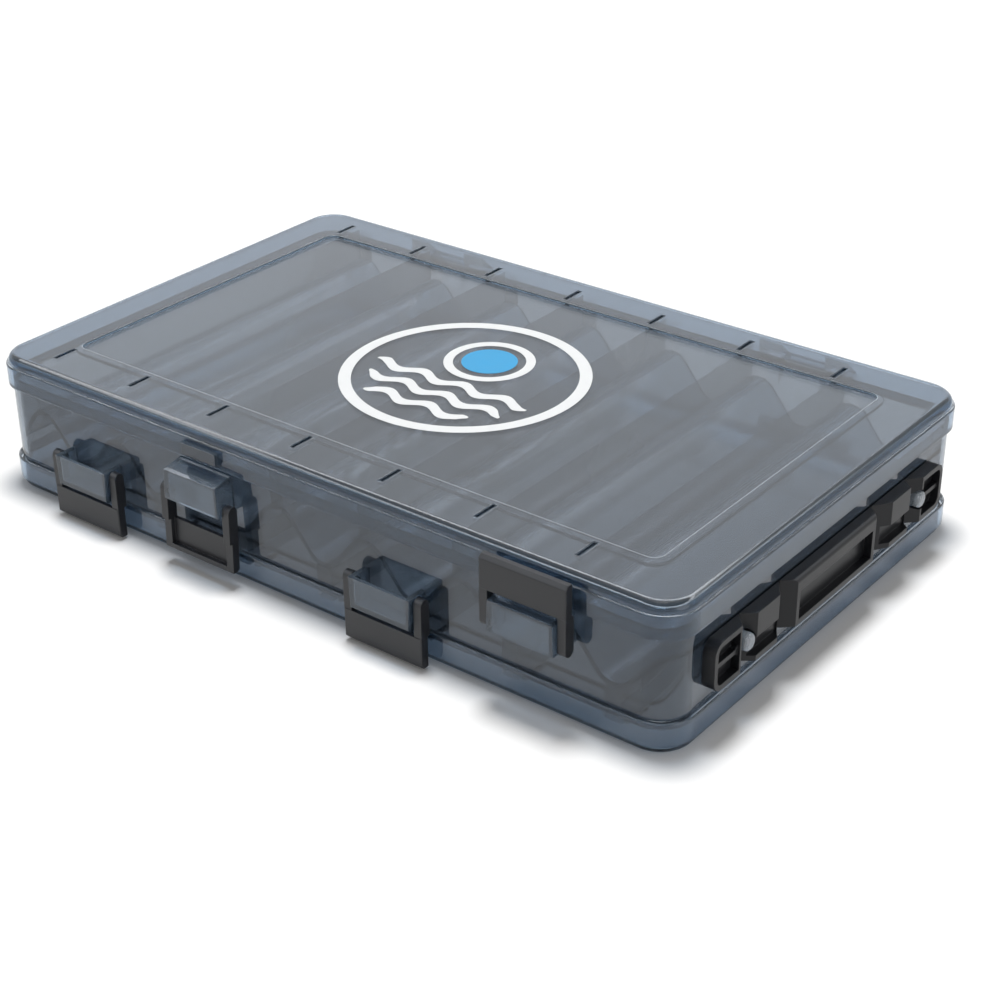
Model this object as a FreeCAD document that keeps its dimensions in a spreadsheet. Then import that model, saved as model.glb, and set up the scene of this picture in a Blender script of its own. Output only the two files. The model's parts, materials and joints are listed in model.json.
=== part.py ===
import FreeCAD, Part
import math
import os

import Sketcher

# Two-sided lure box: a tray open above and below, a lid on each side, four latches and a strap handle.
# Millimetres. X runs along the box to the handle, -Y is the latch side, Z is up, bottom face at z = 0.
# The lower half is the upper half turned over about the Y axis through the middle of the case.

Vector = FreeCAD.Vector
Placement = FreeCAD.Placement
Rotation = FreeCAD.Rotation

DRIVING_SIZES = (
    ("box_length", 277.0, "case, left end to right end, without the handle"),
    ("box_width", 171.5, "case, front to back, without latches and hinges"),
    ("box_height", 49.5, "both lids closed"),
    ("corner_radius", 12.0, "upright corners of the lids"),
    ("lid_depth", 11.2, "height of one lid"),
    ("lid_wall", 1.8, "skirt of a lid"),
    ("lid_top", 1.8, "plate of a lid"),
    ("rim_shoulder", 3.3, "from the top of a lid down to its proud rim"),
    ("rim_proud", 0.8, "rim beyond the upper part of the lid"),
    ("rim_round", 0.5, "edge rounding of the rim"),
    ("top_round", 3.0, "rounding of the upper outer edge"),
    ("panel_end_border", 20.1, "from the end of the box to the sunk panel"),
    ("panel_side_border", 20.95, "from the side of the box to the sunk panel"),
    ("panel_drop", 1.2, "depth of the sunk panel"),
    ("panel_corner", 4.0, "corners of the sunk panel"),
    ("slot_long", 9.4, "slots beside the panel, over the dividers"),
    ("slot_wide", 2.0, "slots beside the panel"),
    ("slot_deep", 1.1, "slots beside the panel"),
    ("slot_from_panel", 1.8, "gap between the panel and a slot"),
    ("lid_gap", 0.3, "lid skirt above the tray shoulder"),
    ("lip_gap", 0.4, "tray lip inside the lid skirt"),
    ("lip_height", 3.0, "tray lip above the shoulder"),
    ("tray_inset", 1.5, "tray wall behind the lid rims"),
    ("tray_wall", 2.0, "tray wall"),
    ("divider_count", 7, "dividers on each side"),
    ("divider_pitch", 36.0, "between two dividers"),
    ("divider_wall", 6.0, "thickness of a divider"),
    ("divider_lid_gap", 2.5, "divider top to the underside of the panel"),
    ("web_wall", 1.7, "corrugated web between the two sides"),
    ("web_wave", 7.0, "middle of the web to a crest"),
    ("web_bend", 7.0, "bend of the web at crests and troughs"),
    ("outer_latch_end", 47.7, "end of the box to the middle of the latch near it"),
    ("inner_latch_x", 38.7, "middle of the box to the other latch"),
    ("latch_width", 30.3, "latch"),
    ("latch_wall", 3.0, "latch plate"),
    ("latch_stand", 2.1, "latch plate in front of the rim"),
    ("latch_top_gap", 0.7, "latch end below the lid top"),
    ("latch_plate_long", 10.8, "latch plate, from its end to the window"),
    ("latch_leg", 2.9, "width of a latch leg"),
    ("latch_round", 0.45, "edges of a latch"),
    ("latch_bevel", 1.1, "sloped end of the latch plate"),
    ("latch_recess", 1.6, "hollow behind the latch plate"),
    ("latch_lip", 1.9, "edge left above the hollow"),
    ("latch_open_angle", 178.0, "degrees that a latch turns"),
    ("pivot_stand", 3.0, "latch pivot in front of the rim"),
    ("pivot_radius", 1.1, "pivot stubs"),
    ("pivot_play", 0.08, "stub in the hole of a leg, all round"),
    ("pivot_depth", 1.9, "stub inside a leg"),
    ("pivot_end_play", 0.2, "end of a stub to the closed end of its hole"),
    ("leg_end_radius", 1.9, "round end of a leg about its pivot"),
    ("side_play", 0.4, "latch legs beside the catch block"),
    ("catch_stand", 6.3, "front of the catch block before the rim"),
    ("catch_tall", 12.1, "catch block on the tray wall"),
    ("catch_roof_gap", 0.6, "latch window above the catch block"),
    ("catch_roof_drop", 1.7, "fall of the roof of the catch block"),
    ("catch_taper", 0.7, "catch block narrower at the roof, each side"),
    ("catch_wall", 1.2, "walls of the catch block"),
    ("nub_width", 15.3, "nub on the lid that the latch covers"),
    ("nub_stand", 1.8, "nub before the rim"),
    ("nub_rise", 1.2, "nub above the lower edge of the rim"),
    ("nub_top_gap", 1.6, "nub below the upper edge of the rim"),
    ("nub_slope", 1.2, "sloped lower edge of the nub"),
    ("knuckle_radius", 3.0, "hinge knuckles"),
    ("knuckle_gap", 0.3, "between knuckles, and to the parts that they pass"),
    ("hinge_end", 60.5, "end of the box to the middle of a hinge"),
    ("hinge_middle", 16.0, "tray knuckle, along the hinge"),
    ("hinge_side", 9.0, "lid knuckle, along the hinge"),
    ("hinge_pin_radius", 1.0, "steel hinge pin"),
    ("hinge_pin_play", 0.05, "pin in its knuckles, all round"),
    ("hinge_arm", 7.0, "height of a knuckle's arm on its wall"),
    ("hinge_arm_reach", 2.4, "from the hinge axis out to where the arm meets the knuckle"),
    ("hinge_arm_rise", 1.8, "from the hinge axis up to where the arm meets the knuckle"),
    ("strap_tall", 16.0, "handle strap, height"),
    ("strap_wall", 1.5, "handle strap, thickness"),
    ("strap_proud", 3.0, "handle strap before the rim"),
    ("strap_gap", 0.3, "strap to the tray wall"),
    ("strap_joint_gap", 0.3, "between two sections of the strap"),
    ("strap_shift", 2.3, "strap slid along its pegs towards the latches"),
    ("strap_end_y", 67.75, "middle to the end of the strap"),
    ("strap_notch_y", 49.3, "middle of the strap to its outer fold"),
    ("strap_end_slope", 4.4, "run of the slope from peg notch to end block"),
    ("strap_link_slope", 3.6, "run of the slope from peg notch to link"),
    ("strap_inner_slope", 6.2, "run of the slope from inner fold to link"),
    ("strap_grip_slope", 3.8, "run of the slope from inner fold to grip"),
    ("strap_fold_y", 27.4, "middle of the strap to its inner fold"),
    ("strap_rim", 1.7, "rim around the hollows of the strap"),
    ("strap_corner", 4.0, "corners of the strap's end"),
    ("grip_band", 4.6, "solid band along the top of the grip"),
    ("peg_y", 51.6, "middle to a handle peg"),
    ("peg_radius", 2.8, "handle peg"),
    ("peg_proud", 3.4, "handle peg before the rim"),
    ("peg_play", 0.7, "strap around its peg"),
    ("peg_round", 1.1, "rounding of the peg's end"),
)

document = FreeCAD.newDocument("lure_box")
sheet = document.addObject("Spreadsheet::Sheet", "Sizes")
for row, (alias, value, meaning) in enumerate(DRIVING_SIZES, 1):
    sheet.set(f"A{row}", meaning)
    sheet.set(f"B{row}", str(value))
    sheet.setAlias(f"B{row}", alias)
document.recompute()


def size(alias):
    return float(sheet.get(alias))


def cell(text):
    # words of the sheet in a formula become references to its cells
    known = {alias for alias, _, _ in DRIVING_SIZES}
    words = []
    for word in text.replace("(", " ( ").replace(")", " ) ").split():
        words.append(f"Sizes.{word}" if word in known else word)
    return " ".join(words).replace("sqrt (", "sqrt(")


def number(text):
    value = sheet.evalExpression(cell(text))
    return float(getattr(value, "Value", value))


def minus(text):
    return f"0 - ( {text} )"


# Formulas that several pieces share. Words are the names in the sheet.
HALF_LENGTH = "box_length / 2"
HALF_WIDTH = "box_width / 2"
MIDDLE = "box_height / 2"
RIM_LOW = "box_height - lid_depth"
RIM_HIGH = "box_height - rim_shoulder"
PANEL_HALF_X = "box_length / 2 - panel_end_border"
PANEL_HALF_Y = "box_width / 2 - panel_side_border"
TRAY_FACE_X = "box_length / 2 - tray_inset"
TRAY_FACE_Y = "box_width / 2 - tray_inset"
TRAY_INNER_X = "box_length / 2 - tray_inset - tray_wall"
TRAY_INNER_Y = "box_width / 2 - tray_inset - tray_wall"
TRAY_INNER_CORNER = "corner_radius - tray_inset - tray_wall"
LIP_FACE_X = "box_length / 2 - lid_wall - lip_gap"
LIP_FACE_Y = "box_width / 2 - lid_wall - lip_gap"
SHOULDER = "box_height - lid_depth - lid_gap"
DIVIDER_TOP = "box_height - panel_drop - lid_top - divider_lid_gap"
FIRST_DIVIDER = "0 - ( divider_count - 0.5 ) * divider_pitch / 2"
LATCH_TOP = "box_height - latch_top_gap"
LATCH_EDGE = "box_height - latch_top_gap - latch_plate_long"
CATCH_BACK = "box_height - latch_top_gap - latch_plate_long - catch_roof_gap"
CATCH_FRONT = f"{CATCH_BACK} - catch_roof_drop"
CATCH_LOW = f"{CATCH_BACK} - catch_tall"
PIVOT_LEVEL = f"{CATCH_LOW} + leg_end_radius"
NUB_LOW = "box_height - lid_depth + nub_rise"
CATCH_HALF = "latch_width / 2 - latch_leg - side_play"
HINGE_Y = "box_width / 2 + knuckle_radius + knuckle_gap"
STRAP_FRONT = "box_length / 2 + strap_proud"
STRAP_BACK = "box_length / 2 - tray_inset + strap_gap"
SCOOP_DEEP = "strap_proud + tray_inset - strap_gap - strap_wall"


def case_placement(turned=False, x=0.0):
    # the origin is below the middle of the whole box, handle and hinges included
    shift_x = -max(size("strap_proud"), size("peg_proud")) / 2
    front = size("catch_stand")
    back = number(HINGE_Y) + size("knuckle_radius") - number(HALF_WIDTH)
    placement = Placement(Vector(shift_x, (front - back) / 2, 0), Rotation())
    if turned:
        over = Placement(Vector(0, 0, size("box_height")), Rotation(Vector(0, 1, 0), 180))
        placement = placement.multiply(over)
    return placement.multiply(Placement(Vector(x, 0, 0), Rotation()))


sub_parts = {}


def keep(label, shape_object, placement):
    shape_object.Label = label
    shape_object.Placement = placement
    sub_parts[label] = shape_object
    return shape_object


def new_body(name):
    body = document.addObject("PartDesign::Body", name)
    body.AllowCompound = True
    return body


def new_sketch(body, name, role, offset="0"):
    sketch = body.newObject("Sketcher::SketchObject", name)
    plane = [item for item in body.Origin.OriginFeatures if item.Role == role][0]
    sketch.AttachmentSupport = [(plane, "")]
    sketch.MapMode = "FlatFace"
    sketch.setExpression(".AttachmentOffset.Base.z", cell(offset))
    return sketch


def outline(sketch, corners):
    # a closed outline whose corners are pairs of formulas
    first = sketch.GeometryCount
    places = [(number(x), number(y)) for x, y in corners]
    count = len(corners)
    for index in range(count):
        x0, y0 = places[index]
        x1, y1 = places[(index + 1) % count]
        sketch.addGeometry(Part.LineSegment(Vector(x0, y0, 0), Vector(x1, y1, 0)), False)
    for index in range(count):
        after = (index + 1) % count
        sketch.addConstraint(Sketcher.Constraint("Coincident", first + index, 2, first + after, 1))
    for index, (x, y) in enumerate(corners):
        for axis, formula, value in (("X", x, places[index][0]), ("Y", y, places[index][1])):
            point = Sketcher.Constraint(f"Distance{axis}", -1, 1, first + index, 1, value)
            name = f"corner{first + index}{axis}"
            sketch.renameConstraint(sketch.addConstraint(point), name)
            sketch.setExpression(f"Constraints.{name}", cell(formula))
    return sketch


def rectangle(sketch, x0, x1, y0, y1):
    return outline(sketch, [(x0, y0), (x1, y0), (x1, y1), (x0, y1)])


def rounded(sketch, half_x, half_y, radius):
    # a rectangle about the middle with round corners: sides and arcs take turns
    inner_x = f"{half_x} - ( {radius} )"
    inner_y = f"{half_y} - ( {radius} )"
    sides = (
        ((minus(inner_x), minus(half_y)), (inner_x, minus(half_y))),
        ((half_x, minus(inner_y)), (half_x, inner_y)),
        ((inner_x, half_y), (minus(inner_x), half_y)),
        ((minus(half_x), inner_y), (minus(half_x), minus(inner_y))),
    )
    for start, end in sides:
        points = [Vector(number(x), number(y), 0) for x, y in (start, end)]
        sketch.addGeometry(Part.LineSegment(*points), False)
    bulge = number(radius) * (1 - math.sqrt(0.5))
    for way_x, way_y in ((1, -1), (1, 1), (-1, 1), (-1, -1)):
        low_x, high_x = number(inner_x), number(half_x)
        low_y, high_y = number(inner_y), number(half_y)
        ends = [Vector(way_x * low_x, way_y * high_y, 0), Vector(way_x * high_x, way_y * low_y, 0)]
        if way_x != -way_y:
            ends.reverse()
        middle = Vector(way_x * (high_x - bulge), way_y * (high_y - bulge), 0)
        sketch.addGeometry(Part.Arc(ends[0], middle, ends[1]), False)
    for corner in range(4):
        sketch.addConstraint(Sketcher.Constraint("Coincident", corner, 2, 4 + corner, 1))
        sketch.addConstraint(Sketcher.Constraint("Coincident", 4 + corner, 2, (corner + 1) % 4, 1))
        rule = Sketcher.Constraint("Radius", 4 + corner, number(radius))
        name = f"radius{corner}"
        sketch.renameConstraint(sketch.addConstraint(rule), name)
        sketch.setExpression(f"Constraints.{name}", cell(radius))
    for side, points in enumerate(sides):
        for end, (x, y) in enumerate(points, 1):
            for axis, formula in (("X", x), ("Y", y)):
                rule = Sketcher.Constraint(f"Distance{axis}", -1, 1, side, end, number(formula))
                name = f"side{side}end{end}{axis}"
                sketch.renameConstraint(sketch.addConstraint(rule), name)
                sketch.setExpression(f"Constraints.{name}", cell(formula))
    return sketch


def circle(sketch, x, y, radius):
    index = sketch.GeometryCount
    centre = Vector(number(x), number(y), 0)
    sketch.addGeometry(Part.Circle(centre, Vector(0, 0, 1), number(radius)), False)
    for kind, formula, item in (("DistanceX", x, None), ("DistanceY", y, None), ("Radius", radius, None)):
        value = number(formula)
        if kind == "Radius":
            rule = Sketcher.Constraint(kind, index, value)
        else:
            rule = Sketcher.Constraint(kind, -1, 1, index, 3, value)
        name = f"circle{index}{kind}"
        sketch.renameConstraint(sketch.addConstraint(rule), name)
        sketch.setExpression(f"Constraints.{name}", cell(formula))
    return sketch


def pad(body, name, sketch, length, midplane=False, reverse=False):
    feature = body.newObject("PartDesign::Pad", name)
    feature.Profile = sketch
    feature.setExpression("Length", cell(length))
    feature.Midplane = midplane
    feature.Reversed = reverse
    document.recompute()
    return feature


def pocket(body, name, sketch, length, midplane=False, reverse=False):
    before = body.Tip.Shape.Volume
    feature = body.newObject("PartDesign::Pocket", name)
    feature.Profile = sketch
    feature.setExpression("Length", cell(length))
    feature.Midplane = midplane
    feature.Reversed = reverse
    document.recompute()
    if feature.Shape.Volume >= before:
        raise ValueError(f"{body.Label}: {name} cuts nothing")
    return feature


def fillet(body, name, radius, chosen):
    base = body.Tip
    names = [f"Edge{n}" for n, edge in enumerate(base.Shape.Edges, 1) if chosen(edge)]
    if not names:
        raise ValueError(f"{body.Label}: {name} finds no edge")
    feature = body.newObject("PartDesign::Fillet", name)
    feature.Base = (base, names)
    feature.setExpression("Radius", cell(radius))
    document.recompute()
    return feature


NEAR = 1e-4


def span(edge, axis):
    box = edge.BoundBox
    return getattr(box, f"{axis}Min"), getattr(box, f"{axis}Max")


def along(axis):
    others = [name for name in "XYZ" if name != axis]

    def test(edge):
        return all(abs(span(edge, name)[1] - span(edge, name)[0]) < NEAR for name in others)
    return test


def at(axis, value):
    def test(edge):
        low, high = span(edge, axis)
        return abs(low - value) < NEAR and abs(high - value) < NEAR
    return test


def flat(edge):
    low, high = span(edge, "Z")
    return high - low < NEAR


def every(*tests):
    return lambda edge: all(test(edge) for test in tests)


# Lids


def build_lid(label, turned):
    body = new_body(label)

    def plan(name, height, half_x, half_y, radius):
        return rounded(new_sketch(body, f"{label}_{name}", "XY_Plane", height), half_x, half_y, radius)
    rim = plan("rim", RIM_LOW, HALF_LENGTH, HALF_WIDTH, "corner_radius")
    pad(body, f"{label}_rim_band", rim, "lid_depth - rim_shoulder")
    fillet(body, f"{label}_rim_edges", "rim_round", flat)

    def inner_plan(name, height, inset):
        sides = [f"{whole} - {inset}" for whole in (HALF_LENGTH, HALF_WIDTH, "corner_radius")]
        return plan(name, height, *sides)
    upper = inner_plan("upper", RIM_HIGH, "rim_proud")
    pad(body, f"{label}_upper_part", upper, "rim_shoulder")
    fillet(body, f"{label}_top_edge", "top_round", at("Z", size("box_height")))
    inner = inner_plan("inner", RIM_LOW, "lid_wall")
    pocket(body, f"{label}_inside", inner, "lid_depth - lid_top", reverse=True)
    fillet(body, f"{label}_ceiling_edge", "top_round - lid_wall", at("Z", number("box_height - lid_top")))
    under_x = f"{PANEL_HALF_X} + lid_top"
    under_y = f"{PANEL_HALF_Y} + lid_top"
    under = plan("under", "box_height - lid_top", under_x, under_y, "panel_corner + lid_top")
    pad(body, f"{label}_panel_back", under, "panel_drop", reverse=True)
    panel = plan("panel", "box_height", PANEL_HALF_X, PANEL_HALF_Y, "panel_corner")
    pocket(body, f"{label}_sunk_panel", panel, "panel_drop")

    slots = new_sketch(body, f"{label}_slots", "XY_Plane", "box_height")
    slot_near = f"{PANEL_HALF_Y} + slot_from_panel"
    slot_far = f"{slot_near} + slot_long"
    slot_x0 = f"{FIRST_DIVIDER} - slot_wide / 2"
    slot_x1 = f"{FIRST_DIVIDER} + slot_wide / 2"
    rectangle(slots, slot_x0, slot_x1, slot_near, slot_far)
    rectangle(slots, slot_x0, slot_x1, minus(slot_far), minus(slot_near))
    cut = pocket(body, f"{label}_first_slots", slots, "slot_deep")
    repeat_along_x(body, f"{label}_slot_rows", cut)
    return keep(label, body, case_placement(turned))


def repeat_along_x(body, name, feature):
    rows = body.newObject("PartDesign::LinearPattern", name)
    rows.Originals = [feature]
    rows.Direction = (new_sketch(body, f"{name}_way", "XY_Plane"), ["H_Axis"])
    rows.setExpression("Length", cell("( divider_count - 1 ) * divider_pitch"))
    rows.Occurrences = int(size("divider_count"))
    body.Tip = rows
    document.recompute()


def build_nub(label, x, turned):
    body = new_body(label)
    sketch = new_sketch(body, f"{label}_section", "YZ_Plane")
    face = minus(HALF_WIDTH)
    front = minus(f"{HALF_WIDTH} + nub_stand")
    top = f"{RIM_HIGH} - nub_top_gap"
    corners = [(face, NUB_LOW), (front, f"{NUB_LOW} + nub_slope"), (front, top), (face, top)]
    pad(body, f"{label}_block", outline(sketch, corners), "nub_width", midplane=True)
    return keep(label, body, case_placement(turned, x))


# Tray


def build_tray_frame():
    body = new_body("tray_frame")

    def plan(name, half_x, half_y, radius):
        return rounded(new_sketch(body, name, "XY_Plane", MIDDLE), half_x, half_y, radius)
    wall = plan("tray_wall_outline", TRAY_FACE_X, TRAY_FACE_Y, "corner_radius - tray_inset")
    pad(body, "tray_wall_block", wall, f"2 * ( {SHOULDER} - {MIDDLE} )", midplane=True)
    lip = plan("tray_lip_outline", LIP_FACE_X, LIP_FACE_Y, "corner_radius - lid_wall - lip_gap")
    pad(body, "tray_lip_block", lip, f"2 * ( {SHOULDER} + lip_height - {MIDDLE} )", midplane=True)
    hollow = plan("tray_hollow_outline", TRAY_INNER_X, TRAY_INNER_Y, TRAY_INNER_CORNER)
    pocket(body, "tray_hollow", hollow, "box_height", midplane=True)
    return keep("tray_frame", body, case_placement())


def web_slope():
    # the web is arcs of web_bend joined by straight slopes, each tangent to its arcs, a quarter wave
    # long and web_wave high: returns the angle of the slope
    run = size("divider_pitch") / 4
    rise = size("web_wave")
    bend = size("web_bend")
    low, high = 0.01, math.pi / 2
    for _ in range(60):
        angle = (low + high) / 2
        straight = (run - bend * math.sin(angle)) / math.cos(angle)
        reached = bend * (1 - math.cos(angle)) + straight * math.sin(angle)
        if reached < rise:
            low = angle
        else:
            high = angle
    return angle


def web_edge(crest, trough, offset):
    # one edge of the web from a crest down to the next trough: arc, slope, arc
    angle = web_slope()
    bend = size("web_bend")
    middle = size("box_height") / 2
    high = middle + size("web_wave") - bend
    low = middle - size("web_wave") + bend
    way = 1 if trough > crest else -1
    outer = bend + offset
    inner = bend - offset

    def on_crest(turn):
        return Vector(crest + way * outer * math.sin(turn), 0, high + outer * math.cos(turn))

    def on_trough(turn):
        return Vector(trough - way * inner * math.sin(turn), 0, low - inner * math.cos(turn))
    crest_arc = Part.Arc(on_crest(0), on_crest(angle / 2), on_crest(angle)).toShape()
    slope = Part.LineSegment(on_crest(angle), on_trough(angle)).toShape()
    trough_arc = Part.Arc(on_trough(angle), on_trough(angle / 2), on_trough(0)).toShape()
    return [crest_arc, slope, trough_arc]


def tray_inside():
    # the space within the tray wall, whose round corners trim the web
    x, y = number(TRAY_INNER_X), number(TRAY_INNER_Y)
    block = Part.makeBox(2 * x, 2 * y, size("box_height"), Vector(-x, -y, 0))
    upright = [edge for edge in block.Edges if along("Z")(edge)]
    return block.makeFillet(number(TRAY_INNER_CORNER), upright)


def build_web():
    # the corrugated sheet, in sections that each run from a crest to the next trough
    half = size("web_wall") / 2
    depth = number(TRAY_INNER_Y)
    pitch = size("divider_pitch")
    first = number(FIRST_DIVIDER)
    sections = []
    inside = tray_inside()
    for index in range(2 * int(size("divider_count")) + 1):
        left = first + (index - 1) * pitch / 2
        right = left + pitch / 2
        crest, trough = (right, left) if index % 2 == 0 else (left, right)
        upper = web_edge(crest, trough, half)
        lower = web_edge(crest, trough, -half)
        start = Part.LineSegment(lower[0].Vertexes[0].Point, upper[0].Vertexes[0].Point).toShape()
        end = Part.LineSegment(upper[2].Vertexes[1].Point, lower[2].Vertexes[1].Point).toShape()
        wire = Part.Wire(Part.__sortEdges__(upper + lower + [start, end]))
        section = Part.Face(wire).extrude(Vector(0, 2 * depth, 0))
        section.translate(Vector(0, -depth, 0))
        sections.append(section.common(inside).Solids[0])
    web = document.addObject("Part::Feature", "compartment_web")
    web.Shape = Part.makeCompound(sections)
    return keep("compartment_web", web, case_placement())


def build_divider(label, index, turned):
    # the foot is the hollow of an arc that lies on the crest of the web
    body = new_body(label)
    sketch = new_sketch(body, f"{label}_section", "XZ_Plane")
    half = "divider_wall / 2"
    crest_radius = "web_bend + web_wall / 2"
    centre = f"{MIDDLE} + web_wave - web_bend"
    foot = f"{centre} + sqrt ( ( {crest_radius} ) * ( {crest_radius} ) - divider_wall * divider_wall / 4 )"
    x0, x1 = number(minus(half)), number(half)
    low, high, middle = number(foot), number(DIVIDER_TOP), number(centre)
    sketch.addGeometry(Part.LineSegment(Vector(x1, low, 0), Vector(x1, high, 0)), False)
    sketch.addGeometry(Part.LineSegment(Vector(x1, high, 0), Vector(x0, high, 0)), False)
    sketch.addGeometry(Part.LineSegment(Vector(x0, high, 0), Vector(x0, low, 0)), False)
    top = Vector(0, middle + number(crest_radius), 0)
    sketch.addGeometry(Part.Arc(Vector(x1, low, 0), top, Vector(x0, low, 0)), False)
    for line, after in ((0, 1), (1, 2)):
        sketch.addConstraint(Sketcher.Constraint("Coincident", line, 2, after, 1))
    # the arc runs from the right foot to the left one
    sketch.addConstraint(Sketcher.Constraint("Coincident", 3, 1, 0, 1))
    sketch.addConstraint(Sketcher.Constraint("Coincident", 3, 2, 2, 2))
    rules = (("DistanceX", 0, 1, half), ("DistanceY", 0, 1, foot), ("DistanceX", 0, 2, half),
             ("DistanceY", 0, 2, DIVIDER_TOP), ("DistanceX", 1, 2, minus(half)),
             ("DistanceY", 1, 2, DIVIDER_TOP), ("DistanceX", 2, 2, minus(half)),
             ("DistanceY", 2, 2, foot), ("DistanceY", 3, 3, centre))
    for number_of_rule, (kind, item, point, formula) in enumerate(rules):
        rule = Sketcher.Constraint(kind, -1, 1, item, point, number(formula))
        name = f"rule{number_of_rule}"
        sketch.renameConstraint(sketch.addConstraint(rule), name)
        sketch.setExpression(f"Constraints.{name}", cell(formula))
    pad(body, f"{label}_wall", sketch, f"2 * ( {TRAY_INNER_Y} )", midplane=True)
    x = number(FIRST_DIVIDER) + index * size("divider_pitch")
    return keep(label, body, case_placement(turned, x))


# Latches


def build_catch(label, x, turned):
    body = new_body(label)
    face = new_sketch(body, f"{label}_face", "XZ_Plane", f"{HALF_WIDTH} + catch_stand")
    narrow = f"{CATCH_HALF} - catch_taper"
    outline(face, [(minus(CATCH_HALF), CATCH_LOW), (CATCH_HALF, CATCH_LOW),
                   (narrow, CATCH_BACK), (minus(narrow), CATCH_BACK)])
    pad(body, f"{label}_block", face, "catch_stand + tray_inset", reverse=True)
    roof = new_sketch(body, f"{label}_roof", "YZ_Plane")
    front = minus(f"{HALF_WIDTH} + catch_stand")
    outline(roof, [(front, CATCH_FRONT), (minus(TRAY_FACE_Y), CATCH_BACK),
                   (front, CATCH_BACK)])
    pocket(body, f"{label}_roof_slope", roof, "latch_width", midplane=True)
    stub = new_sketch(body, f"{label}_stub", "YZ_Plane")
    circle(stub, minus(f"{HALF_WIDTH} + pivot_stand"), PIVOT_LEVEL, "pivot_radius")
    pad(body, f"{label}_stubs", stub, "latch_width - 2 * latch_leg + 2 * pivot_depth", midplane=True)
    hollow = new_sketch(body, f"{label}_hollow", "XY_Plane", CATCH_LOW)
    inner = f"{narrow} - catch_wall"
    hollow_front = minus(f"{HALF_WIDTH} + catch_stand - catch_wall")
    rectangle(hollow, minus(inner), inner, hollow_front, minus(TRAY_FACE_Y))
    pocket(body, f"{label}_inside", hollow, f"{CATCH_FRONT} - catch_wall - ( {CATCH_LOW} )", reverse=True)
    return keep(label, body, case_placement(turned, x))


def build_latch(label, x, turned, open_at_rest):
    body = new_body(label)
    half = "latch_width / 2"
    front = minus(f"{HALF_WIDTH} + latch_stand + latch_wall")
    back = minus(f"{HALF_WIDTH} + latch_stand")
    plate = new_sketch(body, f"{label}_plate", "YZ_Plane")
    outline(plate, [(back, LATCH_EDGE), (front, LATCH_EDGE), (front, f"{LATCH_TOP} - latch_bevel"),
                    (f"{front} + latch_bevel", LATCH_TOP), (back, LATCH_TOP)])
    pad(body, f"{label}_plate_block", plate, "latch_width", midplane=True)
    front_y, top_z, low_z = number(front), number(LATCH_TOP), number(LATCH_EDGE)

    def outer_edge(edge):
        on_front = abs(span(edge, "Y")[0] - front_y) < NEAR
        on_top = span(edge, "Z")[0] > top_z - NEAR
        return (on_front or on_top) and span(edge, "Z")[1] > low_z + NEAR
    fillet(body, f"{label}_plate_edges", "latch_round", outer_edge)
    recess = new_sketch(body, f"{label}_recess", "XZ_Plane", f"{HALF_WIDTH} + latch_stand")
    inner = f"{half} - latch_leg"
    rectangle(recess, minus(inner), inner, LATCH_EDGE, f"{LATCH_TOP} - latch_lip")
    pocket(body, f"{label}_hollow", recess, "latch_recess", reverse=True)
    leg = new_sketch(body, f"{label}_leg", "YZ_Plane", inner)
    pivot_y = minus(f"{HALF_WIDTH} + pivot_stand")
    rectangle(leg, f"{pivot_y} - leg_end_radius", f"{pivot_y} + leg_end_radius", PIVOT_LEVEL, LATCH_EDGE)
    legs = pad(body, f"{label}_right_leg", leg, "latch_leg")
    end = new_sketch(body, f"{label}_leg_end", "YZ_Plane", inner)
    circle(end, pivot_y, PIVOT_LEVEL, "leg_end_radius")
    ends = pad(body, f"{label}_right_leg_end", end, "latch_leg")
    mirror = body.newObject("PartDesign::Mirrored", f"{label}_left_leg")
    mirror.Originals = [legs, ends]
    side = [item for item in body.Origin.OriginFeatures if item.Role == "YZ_Plane"][0]
    mirror.MirrorPlane = (side, [""])
    body.Tip = mirror
    document.recompute()
    hole = new_sketch(body, f"{label}_hole", "YZ_Plane")
    circle(hole, pivot_y, PIVOT_LEVEL, "pivot_radius + pivot_play")
    deep = "latch_width - 2 * latch_leg + 2 * ( pivot_depth + pivot_end_play )"
    pocket(body, f"{label}_holes", hole, deep, midplane=True)
    placement = case_placement(turned, x)
    if open_at_rest:
        pivot = Vector(0, number(pivot_y), number(PIVOT_LEVEL))
        turn = Rotation(Vector(1, 0, 0), size("latch_open_angle"))
        placement = placement.multiply(Placement(Vector(0, 0, 0), turn, pivot))
    return keep(label, body, placement)


# Hinges


def build_knuckle(name, x, length, on_lid):
    # the round knuckle with its arm, bored for the pin, in the place of the upper lid's hinge
    body = new_body(name)
    low_y = HALF_WIDTH if on_lid else TRAY_FACE_Y
    arm = new_sketch(body, f"{name}_arm_section", "YZ_Plane")
    reach = f"{HINGE_Y} + hinge_arm_reach"
    if on_lid:
        outline(arm, [(low_y, RIM_LOW), (HINGE_Y, RIM_LOW), (reach, f"{RIM_LOW} + hinge_arm_rise"),
                      (low_y, f"{RIM_LOW} + hinge_arm")])
    else:
        under = f"{RIM_LOW} - lid_gap"
        outline(arm, [(low_y, under), (low_y, f"{under} - hinge_arm"),
                      (reach, f"{RIM_LOW} - hinge_arm_rise"), (HINGE_Y, under)])
    pad(body, f"{name}_arm", arm, length, midplane=True)
    tube = circle(new_sketch(body, f"{name}_round", "YZ_Plane"), HINGE_Y, RIM_LOW, "knuckle_radius")
    pad(body, f"{name}_knuckle", tube, length, midplane=True)
    bore = new_sketch(body, f"{name}_bore", "YZ_Plane")
    circle(bore, HINGE_Y, RIM_LOW, "hinge_pin_radius + hinge_pin_play")
    pocket(body, f"{name}_pin_bore", bore, f"2 * ( {length} )", midplane=True)
    body.Placement = Placement(Vector(x, 0, 0), Rotation())
    return body


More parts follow.
